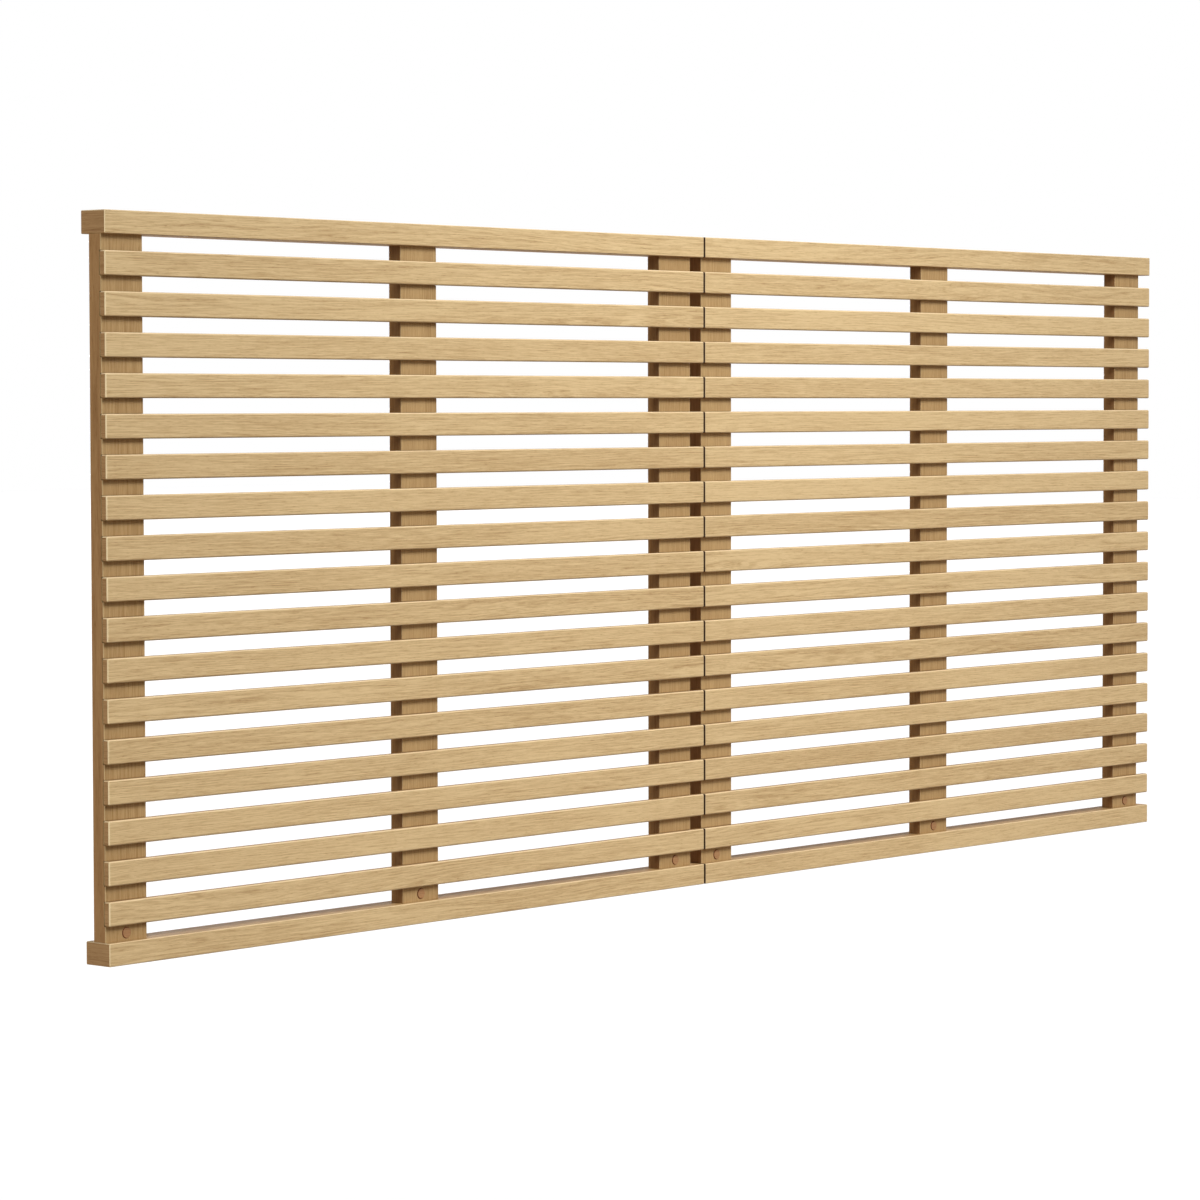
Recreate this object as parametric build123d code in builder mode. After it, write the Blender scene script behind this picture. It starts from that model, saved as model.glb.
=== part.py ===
"""Slatted oak headboard in two wall-hung panels that meet at a seam.

Millimetres. X runs along the headboard, with 0 at the seam. Y runs from the front (negative)
to the wall (positive), with 0 at mid depth. Z is up, with 0 at the underside of the bottom rails.

Each panel is a frame of two deep rails and three posts, and seventeen thin slats lie in
housings cut across the fronts of the posts.
"""

import os

from build123d import *

# The whole headboard
overall_width = 2000
overall_height = 800
overall_depth = 37
seam_gap = 2

# Rails: the deep top and bottom members, which reach the wall
rail_height = 25
rail_arris = 0.8

# Slats: each panel takes as many as leave at least this gap between them
least_slat_gap = 16
slat_height = 26.5
slat_depth = 9
slat_arris = 1.2
# The gap next to a rail is this much wider than the gap between two slats
end_gap_extra = 1

# Posts, set back from the fronts of the rails and slats
post_width = 60
post_thickness = 18.5
post_setback = 6.5
post_arris = 0.6
# The slats run on past the post at a panel's right end by this much
slat_overhang = 19
housing_clearance = 0.1

# Stub tenons at both ends of a post
tenon_width = 40
tenon_thickness = 8
tenon_length = 14
tenon_lead = 1
tenon_clearance = 0.1
mortise_spare_depth = 1

# Fixing hole through the foot of each post, with a cover plug in front of the screw head
fixing_hole_radius = 2.75
plug_radius = 6
plug_length = 5
plug_stand_out = 1
plug_bevel = 0.5
plug_clearance = 0.05
screw_head_room = 3

# Keyholes routed in the backs of the top rails
keyhole_spacing = 800
keyhole_head_radius = 5
keyhole_neck_width = 5
keyhole_drop = 8
keyhole_depth = 10
keyhole_lip = 4

# Loose dowels that line the two panels up across the seam
dowel_radius = 4
dowel_length = 40
dowel_lead = 1
dowel_clearance = 0.1
dowel_spare_depth = 1

# Places worked out from the sizes
panel_length = (overall_width - seam_gap) / 2
front_y = -overall_depth / 2
back_y = overall_depth / 2
top_rail_bottom = overall_height - rail_height

slat_room = overall_height - 2 * rail_height - 2 * end_gap_extra
slat_count = int((slat_room - least_slat_gap) / (slat_height + least_slat_gap))
slat_gap = (slat_room - slat_count * slat_height) / (slat_count + 1)
slat_pitch = slat_height + slat_gap
end_gap = slat_gap + end_gap_extra
slat_bottoms = [rail_height + end_gap + i * slat_pitch for i in range(slat_count)]

post_front_y = front_y + post_setback
post_middle_y = post_front_y + post_thickness / 2
post_height = top_rail_bottom - rail_height
housing_depth = slat_depth - post_setback
# Post centres, counted from the left end of a panel
left_post_centre = post_width / 2
right_post_centre = panel_length - slat_overhang - post_width / 2
post_centres = {
    "left": left_post_centre,
    "middle": (left_post_centre + right_post_centre) / 2,
    "right": right_post_centre,
}

mortise_width = tenon_width + 2 * tenon_clearance
mortise_thickness = tenon_thickness + 2 * tenon_clearance
mortise_depth = tenon_length + mortise_spare_depth
mortise_back_y = post_middle_y + mortise_thickness / 2

plug_seat_depth = plug_length - plug_stand_out + screw_head_room
plug_z = rail_height + end_gap / 2
dowel_y = (mortise_back_y + back_y) / 2
dowel_hole_radius = dowel_radius + dowel_clearance
dowel_hole_depth = (dowel_length - seam_gap) / 2 + dowel_spare_depth

panel_lefts = {"left_panel": -overall_width / 2, "right_panel": seam_gap / 2}


def save(part, name):
    """Label a finished piece and write its file."""
    part.part.label = name
    export_step(part.part, f"parts/{name}.step")


def make_rail(panel, at_top):
    """A rail with mortises for three posts and a dowel hole at its seam end."""
    left = panel_lefts[panel]
    bottom = top_rail_bottom if at_top else 0
    middle_z = bottom + rail_height / 2
    mouth_z, into_mortise = (bottom, 1) if at_top else (bottom + rail_height, -1)
    seam_x, into_dowel_hole = (left + panel_length, -1) if panel == "left_panel" else (left, 1)
    keyhole_bottom = middle_z - keyhole_drop / 2
    keyhole_xs = [left + panel_length / 2 + half * keyhole_spacing / 2 for half in (-1, 1)]
    with BuildPart() as rail:
        with BuildSketch(Plane.YZ.offset(left)):
            with Locations((0, middle_z)):
                Rectangle(overall_depth, rail_height)
        extrude(amount=panel_length)
        chamfer(rail.edges(), length=rail_arris)
        with BuildSketch(Plane.XY.offset(mouth_z)):
            with Locations(*[(left + x, post_middle_y) for x in post_centres.values()]):
                Rectangle(mortise_width, mortise_thickness)
        extrude(amount=into_mortise * mortise_depth, mode=Mode.SUBTRACT)
        with BuildSketch(Plane.YZ.offset(seam_x)):
            with Locations((dowel_y, middle_z)):
                Circle(dowel_hole_radius)
        extrude(amount=into_dowel_hole * dowel_hole_depth, mode=Mode.SUBTRACT)
        if at_top:
            # The screw head goes in at the round mouth and slides up behind the lip
            with BuildSketch(Plane.XZ.offset(-back_y)):
                with Locations(*[(x, keyhole_bottom) for x in keyhole_xs]):
                    Circle(keyhole_head_radius)
                with Locations(*[(x, middle_z) for x in keyhole_xs]):
                    SlotCenterToCenter(keyhole_drop, keyhole_neck_width, rotation=90)
            extrude(amount=keyhole_depth, mode=Mode.SUBTRACT)
            with BuildSketch(Plane.XZ.offset(keyhole_lip - back_y)):
                with Locations(*[(x, middle_z) for x in keyhole_xs]):
                    SlotCenterToCenter(keyhole_drop, 2 * keyhole_head_radius, rotation=90)
            extrude(amount=keyhole_depth - keyhole_lip, mode=Mode.SUBTRACT)
    return rail


def make_post(panel, place):
    """A post with a stub tenon at each end and a housing for every slat."""
    middle_x = panel_lefts[panel] + post_centres[place]
    housing_height = slat_height + 2 * housing_clearance
    slat_middles = [bottom + slat_height / 2 for bottom in slat_bottoms]
    with BuildPart() as post:
        with BuildSketch(Plane.XY.offset(rail_height)):
            with Locations((middle_x, post_middle_y)):
                Rectangle(post_width, post_thickness)
        extrude(amount=post_height)
        chamfer(post.edges().filter_by(Axis.Z), length=post_arris)
        with BuildSketch(Plane.XY.offset(rail_height - tenon_length)):
            with Locations((middle_x, post_middle_y)):
                Rectangle(tenon_width, tenon_thickness)
        extrude(amount=post_height + 2 * tenon_length)
        tenon_ends = post.faces().sort_by(Axis.Z)
        chamfer(tenon_ends[0].edges() + tenon_ends[-1].edges(), length=tenon_lead)
        with BuildSketch(Plane.XZ.offset(-post_front_y)):
            with Locations(*[(middle_x, z) for z in slat_middles]):
                Rectangle(post_width, housing_height)
        extrude(amount=-housing_depth, mode=Mode.SUBTRACT)
        with Locations(Plane.XZ.offset(-post_front_y) * Location((middle_x, plug_z, 0))):
            CounterBoreHole(
                radius=fixing_hole_radius,
                counter_bore_radius=plug_radius + plug_clearance,
                counter_bore_depth=plug_seat_depth,
                depth=post_thickness,
            )
    return post


def make_slat(panel, bottom):
    """A slat, eased on every edge, lying in the housings of three posts."""
    with BuildPart() as slat:
        with BuildSketch(Plane.YZ.offset(panel_lefts[panel])):
            with Locations((front_y + slat_depth / 2, bottom + slat_height / 2)):
                Rectangle(slat_depth, slat_height)
        extrude(amount=panel_length)
        chamfer(slat.edges(), length=slat_arris)
    return slat


def make_cover_plug(panel, place):
    """A plug that hides the screw head in a post's foot and stands a little proud."""
    middle_x = panel_lefts[panel] + post_centres[place]
    plug_front_y = post_front_y - plug_stand_out
    with BuildPart() as plug:
        with BuildSketch(Plane.XZ.offset(-plug_front_y)):
            with Locations((middle_x, plug_z)):
                Circle(plug_radius)
        extrude(amount=-plug_length)
        chamfer(plug.edges().group_by(Axis.Y)[0], length=plug_bevel)
    return plug


def make_joining_dowel(at_top):
    """A dowel across the seam, between the ends of two rails."""
    rail_bottom = top_rail_bottom if at_top else 0
    with BuildPart() as dowel:
        with BuildSketch(Plane.YZ.offset(-dowel_length / 2)):
            with Locations((dowel_y, rail_bottom + rail_height / 2)):
                Circle(dowel_radius)
        extrude(amount=dowel_length)
        chamfer(dowel.edges().filter_by(GeomType.CIRCLE), length=dowel_lead)
    return dowel


os.makedirs("parts", exist_ok=True)
for panel in panel_lefts:
    save(make_rail(panel, at_top=True), f"{panel}_top_rail")
    save(make_rail(panel, at_top=False), f"{panel}_bottom_rail")
    for place in post_centres:
        save(make_post(panel, place), f"{panel}_{place}_post")
        save(make_cover_plug(panel, place), f"{panel}_{place}_cover_plug")
    # Slats are numbered from the top down
    for number, slat_bottom in enumerate(reversed(slat_bottoms), start=1):
        save(make_slat(panel, slat_bottom), f"{panel}_slat_{number:02d}")
save(make_joining_dowel(at_top=True), "top_joining_dowel")
save(make_joining_dowel(at_top=False), "bottom_joining_dowel")
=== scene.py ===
"""Gives the slatted headboard its woods, a studio's light and the photograph's view.

Metres, in the CAD's own frame. X runs along the headboard, with 0 at the seam between the
panels, Y from the front to the wall, and Z up from the underside of the bottom rails.
"""

import math

import bpy
from mathutils import Matrix, Vector


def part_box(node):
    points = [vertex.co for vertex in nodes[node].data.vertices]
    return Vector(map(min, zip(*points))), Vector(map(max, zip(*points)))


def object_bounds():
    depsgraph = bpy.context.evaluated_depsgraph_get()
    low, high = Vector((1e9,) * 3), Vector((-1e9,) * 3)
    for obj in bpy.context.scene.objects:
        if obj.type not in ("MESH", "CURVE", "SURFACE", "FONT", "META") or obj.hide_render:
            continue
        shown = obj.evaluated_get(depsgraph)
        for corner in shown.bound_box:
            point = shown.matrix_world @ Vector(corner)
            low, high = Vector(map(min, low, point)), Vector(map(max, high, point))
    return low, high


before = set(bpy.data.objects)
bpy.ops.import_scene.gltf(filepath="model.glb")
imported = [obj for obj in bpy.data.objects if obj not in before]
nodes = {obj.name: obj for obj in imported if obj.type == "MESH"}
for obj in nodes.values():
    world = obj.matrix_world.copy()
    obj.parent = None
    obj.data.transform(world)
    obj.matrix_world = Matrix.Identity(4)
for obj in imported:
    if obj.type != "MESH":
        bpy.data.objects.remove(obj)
cad_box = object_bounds()

MILLIMETRE = 0.001
WHITE = (1.0, 1.0, 1.0)

# The photograph's view: where the camera stands, and how far it turns from facing the wall
camera_place = (-4.004, -3.262, 0.594)
camera_turn = math.radians(49.55)
camera_tilt = math.radians(-2.68)
camera_roll = math.radians(-0.10)
camera_lens = 125.1
camera_sensor = 36.0

# The headboard hangs this high above the floor
floor_drop = 0.6
floor_reach = 40.0

# Corners that the CAD cuts flat are rounded by this much more
rail_rounding = 0.45 * MILLIMETRE
slat_rounding = 0.7 * MILLIMETRE
post_rounding = 0.3 * MILLIMETRE
plug_rounding = 0.3 * MILLIMETRE
dowel_rounding = 0.4 * MILLIMETRE
rounding_segments = 2
# Corners sharper than this are rounded, and faces flatter than this to each other are joined
rounding_angle = math.radians(30)
flat_angle = math.radians(1)
weld_reach = 0.01 * MILLIMETRE

# The light of the sky in front and above, and the weak fill from everywhere else
sky_light = (1.75, 1.75, 1.75)
fill_light = (0.06, 0.04, 0.02)
# The sky starts where a direction's share along Y, and along Z, is the first of each pair, and is
# at its full light from the second
sky_front = (0.0, -0.8)
sky_top = (0.1, 0.85)

# The floor's paint, dark so that it throws little light up, and the glow that the eye sees on it
floor_noise = (3.0, 0.5)
floor_paints = ((0.11, 0.11, 0.11, 1.0), (0.13, 0.13, 0.13, 1.0))
floor_glow = (0.88, 0.88, 0.88, 1.0)
floor_roughness = 0.9

# The patterns in the grain: each one's size in millimetres along the grain, across it and into the
# board, and then the detail and the roughness of its noise
swells = ((600.0, 30.0, 30.0), 2.0, 0.4)
ripples = ((90.0, 4.0, 4.0), 2.0, 0.5)
fading = ((160.0, 9.0, 9.0), 2.0, 0.6)
pores = ((8.0, 0.45, 0.45), 1.0, 0.5)
fibres = ((24.0, 0.7, 0.7), 3.0, 0.6)
slow_tone = ((260.0, 60.0, 60.0), 1.0, 0.5)
wear_and_highlight_noise = ((40.0, 40.0, 40.0), 2.0, 0.5)
# Streaks follow the growth lines, so that they have a count for each line in place of a width
streak_length = 70.0
streak_depth = 6.0
streaks_per_line = 4.6
streak_noise = (3.0, 0.65)
# Growth lines to a millimetre across a board, at the least and at the most
slope_range = (0.14, 0.34)
ripple_share = 0.5
# Each board takes its wood from another place, up to this far off in millimetres
board_shift = (3000.0, 700.0, 500.0)
# Boards are numbered from left to right, and from one row up to the next by this much
row_step = 7.0

# Which values of each pattern count, from where it starts to show to where it shows in full
growth_range = (0.5, 0.12)
fading_range = (0.3, 0.7)
streak_range = (0.4, 0.68)
pore_range = (0.6, 0.72)
# Where the wave of the growth lines is at the first of these, midway between lines, the share of
# pores that shows is the third. At the second, near a line, it is the fourth
pore_gathering = (0.5, 0.1, 0.35, 1.0)

# How much each pattern darkens the wood
growth_shade = 0.13
streak_shade = 0.25
pore_shade = 0.3
fibre_shade = 1.0
tone_shade = 0.25
board_shade = 0.12

# The lacquer: its roughness between and on the streaks, what a pore adds, and the bump
smooth_roughness = 0.5
streak_roughness = 0.58
pore_roughness = 0.2
lacquer_shine = 0.15
# Pores and streaks lie lower than the fibres between them
fibre_height = 0.35
pore_height = -1.0
streak_height = -0.4
bump_strength = 0.35
bump_height = 0.05 * MILLIMETRE

# A face is a front or back where its normal's share along Y is above the first of these, and a
# narrow side, which gets painted shade, where it is below the second
side_shade_band = (0.6, 0.3)
# On a plug, the side wall and chamfer get a dark reddish rim, partly its end grain and partly painted
# shadow
plug_rim_band = (0.95, 0.8)
# Of the narrow sides, those below the first of these along Z are undersides, and those above the
# second are tops. Those above the second of the next pair along X are ends or outer sides. Each
# kind gets its own painted shade
top_shade_band = (-0.3, 0.3)
end_shade_band = (0.5, 0.8)
# The grain runs from front to back on faces whose normal's share along X is above this
end_face_share = 0.9

# Eased corners turn pale, partly from worn lacquer and partly as a painted highlight where light catches
# them. This starts at the first of these in squareness, and is full at the second
wear_and_highlight_band = (0.98, 0.85)
# Corners that face down by more than the first of these get none, and upright ones get it in full, since
# the painted highlight follows light from above
highlight_facing = (-0.5, 0.0)
# It is patchy: as its noise goes from the first to the second, it goes from the third to the fourth
wear_and_highlight_patches = (0.3, 0.6, 0.6, 1.0)
worn_and_highlight_colour = (0.84, 0.67, 0.42, 1.0)

# Painted shade on the ends that meet at the seam, standing in for the shade in the narrow gap, fades out
# over this range from the seam's middle
seam_shade_edge = (2.0 * MILLIMETRE, 1.5 * MILLIMETRE)
seam_shade_colour = (0.07, 0.04, 0.025, 1.0)


class Finish:
    """A material in the making: each call adds a node and gives back what comes out of it."""

    def __init__(self, name):
        self.material = bpy.data.materials.new(name)
        self.material.use_nodes = True
        self.tree = self.material.node_tree
        self.surface = self.tree.nodes["Principled BSDF"]

    def feed(self, socket, value):
        """Link an output to a socket, or set the socket to a plain value."""
        if isinstance(value, bpy.types.NodeSocket):
            self.tree.links.new(value, socket)
        else:
            socket.default_value = value

    def add(self, kind, *values, output=0, **settings):
        """A node with its settings, fed in the order of its sockets, where None is left as it is."""
        made = self.tree.nodes.new(kind)
        for name, setting in settings.items():
            setattr(made, name, setting)
        for socket, value in zip(made.inputs, values):
            if value is not None:
                self.feed(socket, value)
        return made.outputs[output]

    def number(self, operation, *values):
        return self.add("ShaderNodeMath", *values, operation=operation)

    def vector(self, operation, *values):
        return self.add("ShaderNodeVectorMath", *values, operation=operation)

    def fit(self, value, low, high, start=0.0, end=1.0):
        """Take a range of values smoothly to another, held at its ends."""
        return self.add("ShaderNodeMapRange", value, low, high, start, end, interpolation_type="SMOOTHSTEP")

    def part(self, value, index):
        """The X, Y or Z of a vector, by its index."""
        return self.add("ShaderNodeSeparateXYZ", value, output=index)

    def place(self):
        """Where the surface is, in metres."""
        return self.add("ShaderNodeTexCoord", output=3)

    def facing(self):
        """Which way the surface faces, before any bump."""
        return self.add("ShaderNodeNewGeometry", output=3)

    def noise(self, point, detail, roughness):
        return self.add("ShaderNodeTexNoise", point, None, 1.0, detail, roughness)

    def pattern(self, point, size, detail, roughness):
        """Noise that is stretched to a size along each axis of the point."""
        return self.noise(self.vector("DIVIDE", point, size), detail, roughness)

    def blend(self, amount, first, second, blend_type="MIX"):
        made = self.tree.nodes.new("ShaderNodeMix")
        made.data_type = "RGBA"
        made.blend_type = blend_type
        self.feed(made.inputs["Factor"], amount)
        self.feed(made.inputs[6], first)
        self.feed(made.inputs[7], second)
        return made.outputs[2]


def wood_point(finish, grain):
    """Place in the wood in millimetres, ordered along the grain, across it and into the board.

    On a board's end faces the grain runs from front to back, as on an edge band.
    """
    place = finish.vector("MULTIPLY", finish.place(), (1 / MILLIMETRE,) * 3)
    x, y, z = [finish.part(place, i) for i in range(3)]
    if grain == "Z":
        return finish.add("ShaderNodeCombineXYZ", z, x, y)
    sideways = finish.number("ABSOLUTE", finish.part(finish.facing(), 0))
    on_end = finish.number("GREATER_THAN", sideways, end_face_share)
    long_side = finish.add("ShaderNodeCombineXYZ", x, z, y)
    short_side = finish.add("ShaderNodeCombineXYZ", y, z, x)
    return finish.blend(on_end, long_side, short_side)


def board_chance(finish, spacing, start):
    """Three chance values from 0 to 1 that are the same all over one board, told apart by place."""
    place = finish.place()
    x, z = [finish.part(place, i) for i in (0, 2)]
    along, up = [
        finish.number("FLOOR", finish.number("DIVIDE", finish.number("SUBTRACT", value, first), step))
        for value, first, step in ((x, start[0], spacing[0]), (z, start[1], spacing[1]))
    ]
    number = finish.number("MULTIPLY_ADD", up, row_step, along)
    return finish.add("ShaderNodeTexWhiteNoise", None, number, output=1, noise_dimensions="1D")


def squareness(finish, facing):
    """1 on a face that is square to an axis, and less on a corner that is cut or rounded."""
    turned = finish.vector("ABSOLUTE", facing)
    x, y, z = [finish.part(turned, i) for i in range(3)]
    return finish.number("MAXIMUM", x, finish.number("MAXIMUM", y, z))


def grain_patterns(finish, point, chance, flow):
    """Growth lines, streaks, pores, fibres and a slow change of tone, each from about 0 to 1."""
    # Growth lines are the contours of a slow swell added to a slope across the board
    along, across, into = [finish.part(point, i) for i in range(3)]
    slope = finish.number("MULTIPLY", across, finish.fit(chance, 0.0, 1.0, *slope_range))
    rings = finish.number("MULTIPLY_ADD", finish.pattern(point, *swells), flow, slope)
    rings = finish.number("MULTIPLY_ADD", finish.pattern(point, *ripples), ripple_share, rings)
    wave = finish.number("PINGPONG", rings, 0.5)
    faded = finish.fit(finish.pattern(point, *fading), *fading_range)
    growth_line = finish.number("MULTIPLY", finish.fit(wave, *growth_range), faded)

    # Fine streaks run with the growth lines
    slow = finish.number("DIVIDE", along, streak_length)
    quick = finish.number("MULTIPLY", rings, streaks_per_line)
    deep = finish.number("DIVIDE", into, streak_depth)
    flowing = finish.add("ShaderNodeCombineXYZ", slow, quick, deep)
    streak = finish.fit(finish.noise(flowing, *streak_noise), *streak_range)

    # Pores are short dark dashes in the grain's direction, and most lie along the growth lines
    pore = finish.fit(finish.pattern(point, *pores), *pore_range)
    pore = finish.number("MULTIPLY", pore, finish.fit(wave, *pore_gathering))
    fibre = finish.pattern(point, *fibres)
    tone = finish.pattern(point, *slow_tone)
    return growth_line, streak, pore, fibre, tone


def wear_highlight_and_seam_shade(finish, colour, facing, point, rub_and_highlight, seam_shade):
    """The colour with its upper and upright corners pale, partly worn and partly a painted highlight, and
    painted shade on its ends at the seam.
    """
    # Lacquer rubs thin and pale along the eased corners, and a painted highlight brightens them where light
    # from above catches them, though not on the lower ones
    worn_and_lit = finish.fit(squareness(finish, facing), *wear_and_highlight_band, 0.0, rub_and_highlight)
    worn_and_lit = finish.number("MULTIPLY", worn_and_lit, finish.fit(finish.part(facing, 2), *highlight_facing))
    patchy = finish.fit(finish.pattern(point, *wear_and_highlight_noise), *wear_and_highlight_patches)
    colour = finish.blend(finish.number("MULTIPLY", worn_and_lit, patchy), colour, worn_and_highlight_colour)

    # Painted shade on the ends at the seam makes it read as a dark line
    from_seam = finish.number("ABSOLUTE", finish.part(finish.place(), 0))
    return finish.blend(finish.fit(from_seam, *seam_shade_edge, 0.0, seam_shade), colour, seam_shade_colour)


def make_oak(
    name, grain, spacing, start, tones, shade, figure=1.0, flow=7.0, band=side_shade_band, rub_and_highlight=0.0, seam_shade=0.0
):
    """Lacquered wood with the grain of oak, different on each board.

    grain is the axis along a board. Boards are told apart by cells of the spacing, counted from
    start. tones are the light and dark, and the painted shade on tops, undersides and ends. shade is
    how dark all of it is, figure how strong the grain is, flow how much the growth lines wander, band
    where a front gives way to a shaded narrow side, rub_and_highlight how pale worn and highlighted
    corners get, and seam_shade how dark the painted shade on the ends at the seam is.
    """
    # The last three tones are painted shade for the tops, the undersides and the ends or outer sides
    light, dark, top_shade, under_shade, end = tones
    finish = Finish(name)
    point = wood_point(finish, grain)
    chance = board_chance(finish, spacing, start)
    tone_chance, slope_chance = [
        finish.add("ShaderNodeSeparateColor", chance, output=i) for i in range(2)
    ]
    point = finish.vector("ADD", point, finish.vector("MULTIPLY", chance, board_shift))
    growth_line, streak, pore, fibre, tone = grain_patterns(finish, point, slope_chance, flow)

    depth = finish.number("MULTIPLY", growth_line, growth_shade)
    depth = finish.number("MULTIPLY_ADD", streak, streak_shade, depth)
    depth = finish.number("MULTIPLY_ADD", pore, pore_shade, depth)
    for pattern, weight in ((fibre, fibre_shade), (tone, tone_shade), (tone_chance, board_shade)):
        depth = finish.number("MULTIPLY_ADD", finish.number("SUBTRACT", pattern, 0.5), weight, depth)
    depth = finish.number("MULTIPLY_ADD", depth, figure, shade)
    colour = finish.blend(depth, light, dark)

    # Painted shade: the narrow sides are darker than the fronts and backs, with a shade of their own for
    # tops, undersides and ends
    facing = finish.facing()
    sideways, outward = [finish.number("ABSOLUTE", finish.part(facing, i)) for i in range(2)]
    side_shade = finish.blend(finish.fit(finish.part(facing, 2), *top_shade_band), under_shade, top_shade)
    side_shade = finish.blend(finish.fit(sideways, *end_shade_band), side_shade, end)
    colour = finish.blend(finish.fit(outward, *band), colour, side_shade, "MULTIPLY")
    colour = wear_highlight_and_seam_shade(finish, colour, facing, point, rub_and_highlight, seam_shade)
    finish.feed(finish.surface.inputs["Base Color"], colour)

    roughness = finish.fit(streak, 0.0, 1.0, smooth_roughness, streak_roughness)
    roughness = finish.number("MULTIPLY_ADD", pore, pore_roughness, roughness)
    finish.feed(finish.surface.inputs["Roughness"], roughness)
    finish.surface.inputs["Specular IOR Level"].default_value = lacquer_shine

    height = finish.number("MULTIPLY", fibre, fibre_height)
    height = finish.number("MULTIPLY_ADD", pore, pore_height, height)
    height = finish.number("MULTIPLY_ADD", streak, streak_height, height)
    bump = finish.add("ShaderNodeBump", bump_strength, bump_height)
    finish.feed(bump.node.inputs["Height"], height)
    finish.feed(finish.surface.inputs["Normal"], bump)
    return finish.material


def dress(node, material, rounding):
    """Give a CAD node its wood, and round the corners that the CAD cuts flat."""
    piece = nodes[node]
    piece.data.materials.clear()
    piece.data.materials.append(material)
    weld = piece.modifiers.new("weld", "WELD")
    weld.merge_threshold = weld_reach
    flatten = piece.modifiers.new("flatten", "DECIMATE")
    flatten.decimate_type = "DISSOLVE"
    flatten.angle_limit = flat_angle
    bevel = piece.modifiers.new("round", "BEVEL")
    bevel.width = rounding
    bevel.segments = rounding_segments
    bevel.limit_method = "ANGLE"
    bevel.angle_limit = rounding_angle
    bevel.harden_normals = False


def add_camera():
    """The camera, from where the photograph was taken."""
    data = bpy.data.cameras.new("camera")
    data.sensor_width = camera_sensor
    data.lens = camera_lens
    camera = bpy.data.objects.new("camera", data)
    bpy.context.scene.collection.objects.link(camera)
    upright = math.radians(90) + camera_tilt
    turn = Matrix.Rotation(-camera_turn, 4, "Z") @ Matrix.Rotation(upright, 4, "X")
    camera.matrix_world = Matrix.Translation(camera_place) @ turn @ Matrix.Rotation(camera_roll, 4, "Z")
    bpy.context.scene.camera = camera


def add_lamp(name, towards, level, spread, colour=WHITE):
    """A distant studio lamp, in the direction given, that looks as wide as spread in degrees.

    On a surface that faces it, a level of 1 shows a colour as it is written.
    """
    data = bpy.data.lights.new(name, "SUN")
    data.energy = level * math.pi
    data.color = colour
    data.angle = math.radians(spread)
    lamp = bpy.data.objects.new(name, data)
    bpy.context.scene.collection.objects.link(lamp)
    lamp.rotation_euler = Vector(towards).to_track_quat("Z", "Y").to_euler()


def add_softbox(name, place, width, height, power, colour=WHITE):
    """A flat studio lamp that faces the middle of the headboard."""
    data = bpy.data.lights.new(name, "AREA")
    data.shape = "RECTANGLE"
    data.size = width
    data.size_y = height
    data.energy = power
    data.color = colour
    lamp = bpy.data.objects.new(name, data)
    bpy.context.scene.collection.objects.link(lamp)
    lamp.location = place
    aim = (cad_box[0] + cad_box[1]) / 2 - Vector(place)
    lamp.rotation_euler = aim.to_track_quat("-Z", "Y").to_euler()


def seen_by_eye(tree):
    """1 for rays from the camera, a mirror or glass, and 0 for rays that light things."""
    path = tree.nodes.new("ShaderNodeLightPath")
    last = path.outputs["Is Camera Ray"]
    for kind in ("Is Glossy Ray", "Is Transmission Ray"):
        either = tree.nodes.new("ShaderNodeMath")
        either.operation = "MAXIMUM"
        tree.links.new(last, either.inputs[0])
        tree.links.new(path.outputs[kind], either.inputs[1])
        last = either.outputs[0]
    return last


def light_world(sky, fill):
    """A white surround to look at. What lights things is a wide sky in front and above, and a weak fill."""
    world = bpy.data.worlds.new("studio")
    bpy.context.scene.world = world
    world.use_nodes = True
    tree = world.node_tree
    tree.nodes.clear()
    direction = tree.nodes.new("ShaderNodeTexCoord")
    parts = tree.nodes.new("ShaderNodeSeparateXYZ")
    tree.links.new(direction.outputs["Generated"], parts.inputs[0])
    share = tree.nodes.new("ShaderNodeMath")
    share.operation = "MULTIPLY"
    for place, (axis, low, high) in enumerate((("Y", *sky_front), ("Z", *sky_top))):
        span = tree.nodes.new("ShaderNodeMapRange")
        span.interpolation_type = "SMOOTHSTEP"
        span.inputs["From Min"].default_value = low
        span.inputs["From Max"].default_value = high
        tree.links.new(parts.outputs[axis], span.inputs["Value"])
        tree.links.new(span.outputs[0], share.inputs[place])
    layers = []
    for colour in (fill, sky, WHITE):
        layer = tree.nodes.new("ShaderNodeBackground")
        layer.inputs["Color"].default_value = (*colour, 1.0)
        layers.append(layer.outputs[0])
    lit = tree.nodes.new("ShaderNodeMixShader")
    seen = tree.nodes.new("ShaderNodeMixShader")
    out = tree.nodes.new("ShaderNodeOutputWorld")
    for mix, amount, first, second in (
        (lit, share.outputs[0], layers[0], layers[1]),
        (seen, seen_by_eye(tree), lit.outputs[0], layers[2]),
    ):
        tree.links.new(amount, mix.inputs[0])
        tree.links.new(first, mix.inputs[1])
        tree.links.new(second, mix.inputs[2])
    tree.links.new(seen.outputs[0], out.inputs[0])


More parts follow.
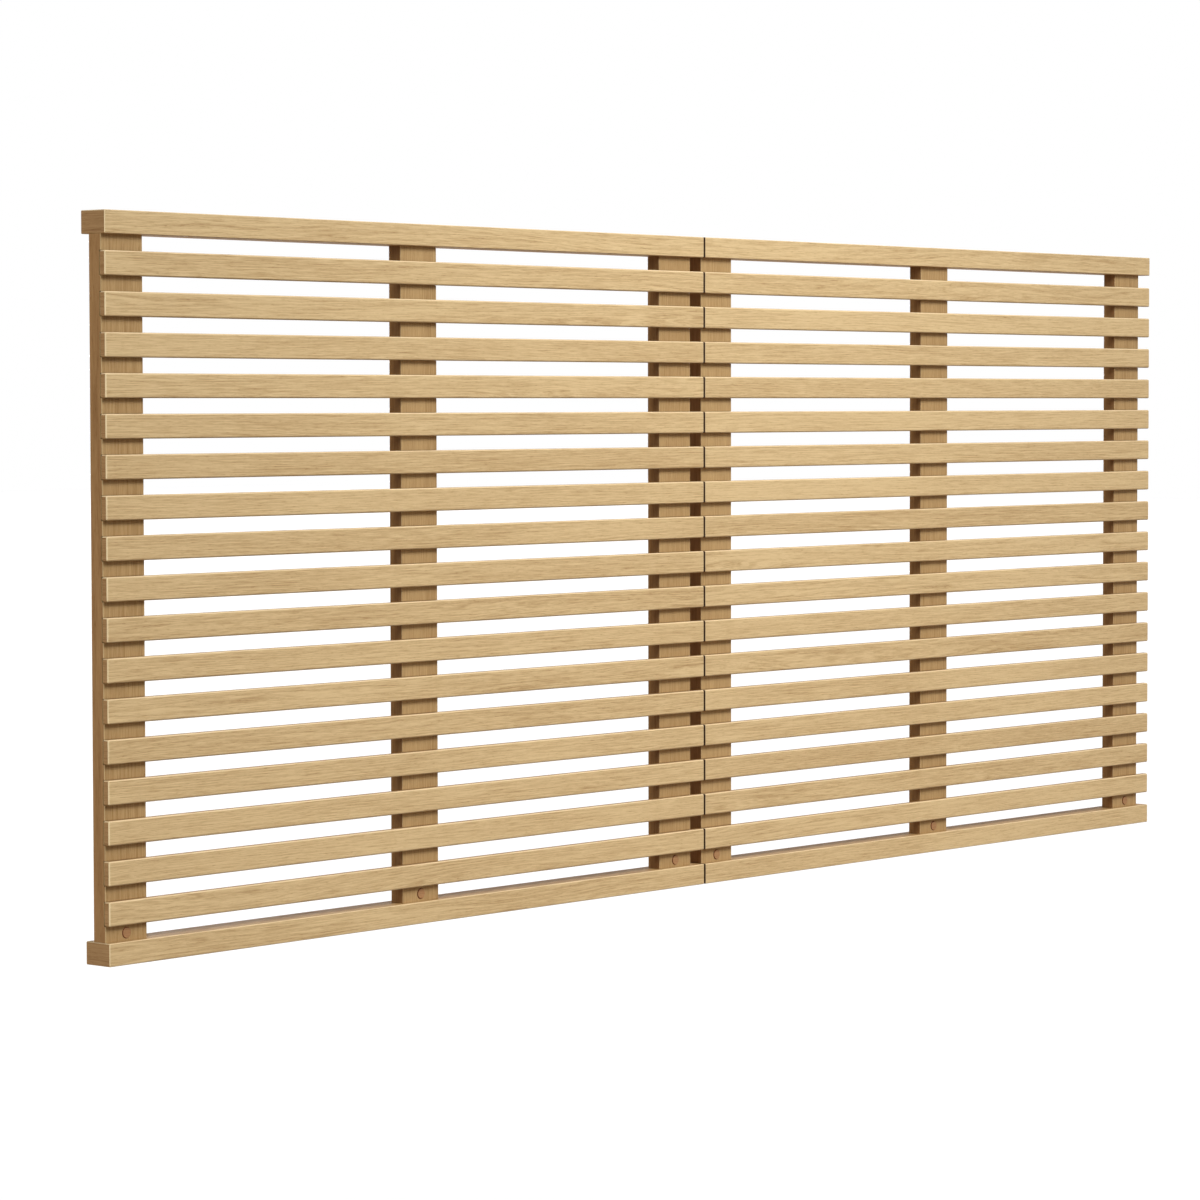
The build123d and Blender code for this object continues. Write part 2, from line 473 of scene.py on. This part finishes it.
def add_floor():
    """A floor, well below the headboard, that looks white to the eye and keeps its shadow."""
    level = cad_box[0].z - floor_drop
    signs = ((-1, -1), (1, -1), (1, 1), (-1, 1))
    corners = [(x * floor_reach, y * floor_reach, level) for x, y in signs]
    mesh = bpy.data.meshes.new("floor")
    mesh.from_pydata(corners, [], [(0, 1, 2, 3)])
    floor = bpy.data.objects.new("floor", mesh)
    bpy.context.scene.collection.objects.link(floor)
    finish = Finish("floor_paint")
    mottle = finish.noise(finish.place(), *floor_noise)
    finish.feed(finish.surface.inputs["Base Color"], finish.blend(mottle, *floor_paints))
    finish.surface.inputs["Roughness"].default_value = floor_roughness
    glow = finish.tree.nodes.new("ShaderNodeEmission")
    finish.tree.links.new(seen_by_eye(finish.tree), glow.inputs["Strength"])
    both = finish.tree.nodes.new("ShaderNodeAddShader")
    out = finish.tree.nodes["Material Output"]
    finish.tree.links.new(finish.surface.outputs[0], both.inputs[0])
    finish.tree.links.new(glow.outputs[0], both.inputs[1])
    finish.tree.links.new(both.outputs[0], out.inputs["Surface"])
    glow.inputs["Color"].default_value = floor_glow
    mesh.materials.append(finish.material)


slat_low, slat_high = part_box("left_panel_slat_02")
slat_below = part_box("left_panel_slat_03")[0]
slat_pitch = slat_low.z - slat_below.z
slat_start = slat_low.z - (slat_pitch - (slat_high.z - slat_low.z)) / 2
half_width = cad_box[1].x
full_height = cad_box[1].z

# Each wood's light and dark, and the painted shade on its tops, its undersides and its ends or outer sides
oak_light = (0.67, 0.515, 0.285, 1.0)
oak_dark = (0.33, 0.195, 0.075, 1.0)
slat_tones = (
    oak_light,
    oak_dark,
    (0.52, 0.38, 0.27, 1.0),
    (0.55, 0.38, 0.21, 1.0),
    (0.57, 0.41, 0.31, 1.0),
)
rail_tones = (
    oak_light,
    oak_dark,
    (0.66, 0.52, 0.37, 1.0),
    (0.88, 0.66, 0.37, 1.0),
    (0.54, 0.39, 0.3, 1.0),
)
# Painted shade for the narrow sides of the posts and dowels
post_side_shade = (0.78, 0.6, 0.5, 1.0)
# The plugs' dark reddish rim, partly end grain and partly a painted shadow round each plug
plug_rim_and_shadow = (0.45, 0.25, 0.2, 1.0)
dowel_side_shade = (0.8, 0.65, 0.53, 1.0)
post_tones = ((0.56, 0.4, 0.195, 1.0), (0.275, 0.16, 0.06, 1.0), post_side_shade, post_side_shade, post_side_shade)
plug_tones = ((0.42, 0.24, 0.115, 1.0), (0.22, 0.095, 0.04, 1.0), plug_rim_and_shadow, plug_rim_and_shadow, plug_rim_and_shadow)
beech_tones = ((0.66, 0.5, 0.34, 1.0), (0.4, 0.25, 0.13, 1.0), dowel_side_shade, dowel_side_shade, dowel_side_shade)

# The corners that the cells of boards are counted from, and the widths and heights of the cells
board_start = (-half_width, 0.0)
slat_corner = (-half_width, slat_start)
slat_spacing = (half_width, slat_pitch)
rail_spacing = (half_width, full_height / 2)
post_spacing = (half_width / 4, full_height * 2)

slat_oak = make_oak(
    "oak_slat", "X", slat_spacing, slat_corner, slat_tones, 0.04, figure=1.45, rub_and_highlight=0.65, seam_shade=1.0
)
rail_oak = make_oak(
    "oak_rail", "X", rail_spacing, board_start, rail_tones, 0.04, figure=1.45, rub_and_highlight=0.65, seam_shade=1.0
)
post_oak = make_oak("oak_post", "Z", post_spacing, board_start, post_tones, 0.41, flow=4.0, rub_and_highlight=0.2)
plug_wood = make_oak("cover_plug", "X", post_spacing, board_start, plug_tones, 0.2, band=plug_rim_band)
beech = make_oak("beech_dowel", "X", rail_spacing, board_start, beech_tones, 0.1)

for node in nodes:
    if "_slat_" in node:
        dress(node, slat_oak, slat_rounding)
    elif node.endswith("_rail"):
        dress(node, rail_oak, rail_rounding)
    elif node.endswith("_post"):
        dress(node, post_oak, post_rounding)
    elif node.endswith("_cover_plug"):
        dress(node, plug_wood, plug_rounding)
    else:
        dress(node, beech, dowel_rounding)

add_camera()
add_floor()
light_world(sky_light, fill_light)
# Each lamp has the direction that it lies in, its level, and its width in degrees
add_lamp("key", (0.15, -0.72, 0.7), 0.44, 20.0)
add_lamp("side", (-1.0, 0.0, 0.03), 0.62, 4.0, (0.93, 1.0, 1.0))
add_lamp("behind", (0.5, 0.86, 0.05), 0.85, 20.0, (1.0, 0.97, 0.9))
# Each softbox has its place, its width and height, and its power in watts
add_softbox("front", (0.1, -1.2, 1.6), 0.6, 0.6, 11.0)
add_softbox("bounce", (0.2, -2.2, -0.45), 3.4, 0.6, 13.0, (1.0, 0.6, 0.28))

bpy.context.scene.view_settings.view_transform = "Standard"
